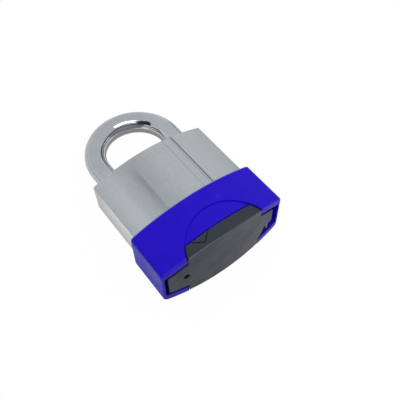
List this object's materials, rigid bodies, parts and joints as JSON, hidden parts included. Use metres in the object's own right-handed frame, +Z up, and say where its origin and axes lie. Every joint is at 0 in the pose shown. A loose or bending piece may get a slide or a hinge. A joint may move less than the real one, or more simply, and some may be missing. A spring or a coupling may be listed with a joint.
{
  "type": "padlock",
  "caption": "Keyed padlock with a lens-section steel body, a polished U shackle, a blue plastic bumper and a swinging grey keyway flap.",
  "frame": {"origin": "middle of the lock's length and width, on the surface that it lies on with its back down", "axes": "+X to the right, +Y from the keyway to the shackle, +Z up, out of the front face"},
  "size_m": [0.0614, 0.0918, 0.0318],
  "materials": {
    "body_steel": "satin ground steel, grain across the lock",
    "shackle_chrome": "polished chrome plate",
    "bumper_plastic": "moulded plastic with a fine satin grain",
    "flap_plastic": "moulded plastic, satin",
    "brass": "turned brass",
    "disc_brass": "stamped brass",
    "hardened_steel": "hardened steel, ground",
    "ball_steel": "polished bearing steel",
    "spring_steel": "drawn spring steel"
  },
  "bodies": {
    "lock_body": {"lock_body": "body_steel", "bumper": "bumper_plastic", "cylinder_housing": "brass", "cylinder_pin": "hardened_steel", "rotor_circlip": "spring_steel", "shackle_spring": "spring_steel", "flap_hinge_pin": "hardened_steel"},
    "shackle": {"shackle": "shackle_chrome"},
    "cylinder": {"rotor_barrel": "brass", "keyway_plate": "hardened_steel", "sidebar": "hardened_steel", "ball_driver": "hardened_steel", "detainer_disc_1": "disc_brass", "detainer_disc_2": "disc_brass", "detainer_disc_3": "disc_brass", "detainer_disc_4": "disc_brass", "detainer_disc_5": "disc_brass", "detainer_disc_6": "disc_brass", "detainer_disc_7": "disc_brass", "detainer_disc_8": "disc_brass", "detainer_disc_9": "disc_brass", "spacer_washer_1": "spring_steel", "spacer_washer_2": "spring_steel", "spacer_washer_3": "spring_steel", "spacer_washer_4": "spring_steel", "spacer_washer_5": "spring_steel", "spacer_washer_6": "spring_steel", "spacer_washer_7": "spring_steel", "spacer_washer_8": "spring_steel"},
    "heel_ball": {"heel_ball": "ball_steel"},
    "toe_ball": {"toe_ball": "ball_steel"},
    "flap": {"keyway_flap": "flap_plastic"}
  },
  "joints": [
    {"name": "shackle_lift", "type": "slide", "parent": "lock_body", "child": "shackle", "axis": [0, 1, 0], "range_m": [0, 0.0185], "deforming": ["shackle_spring"]},
    {"name": "cylinder_turn", "type": "hinge", "parent": "lock_body", "child": "cylinder", "pos_m": [0, -0.03907, 0.0159], "axis": [0, -1, 0], "range_deg": [0, 90]},
    {"name": "heel_ball_travel", "type": "slide", "parent": "lock_body", "child": "heel_ball", "axis": [-1, 0, 0], "range_m": [0, 0.0016]},
    {"name": "toe_ball_travel", "type": "slide", "parent": "lock_body", "child": "toe_ball", "axis": [1, 0, 0], "range_m": [0, 0.0024]},
    {"name": "flap_swing", "type": "hinge", "parent": "lock_body", "child": "flap", "pos_m": [0.0246, -0.04312, 0.0159], "axis": [0, 0, 1], "range_deg": [0, 100]}
  ],
  "couplings": [
    {"joint": "heel_ball_travel", "follows": "cylinder_turn", "m_per_rad": 0.0010186},
    {"joint": "toe_ball_travel", "follows": "cylinder_turn", "m_per_rad": 0.0015279}
  ]
}
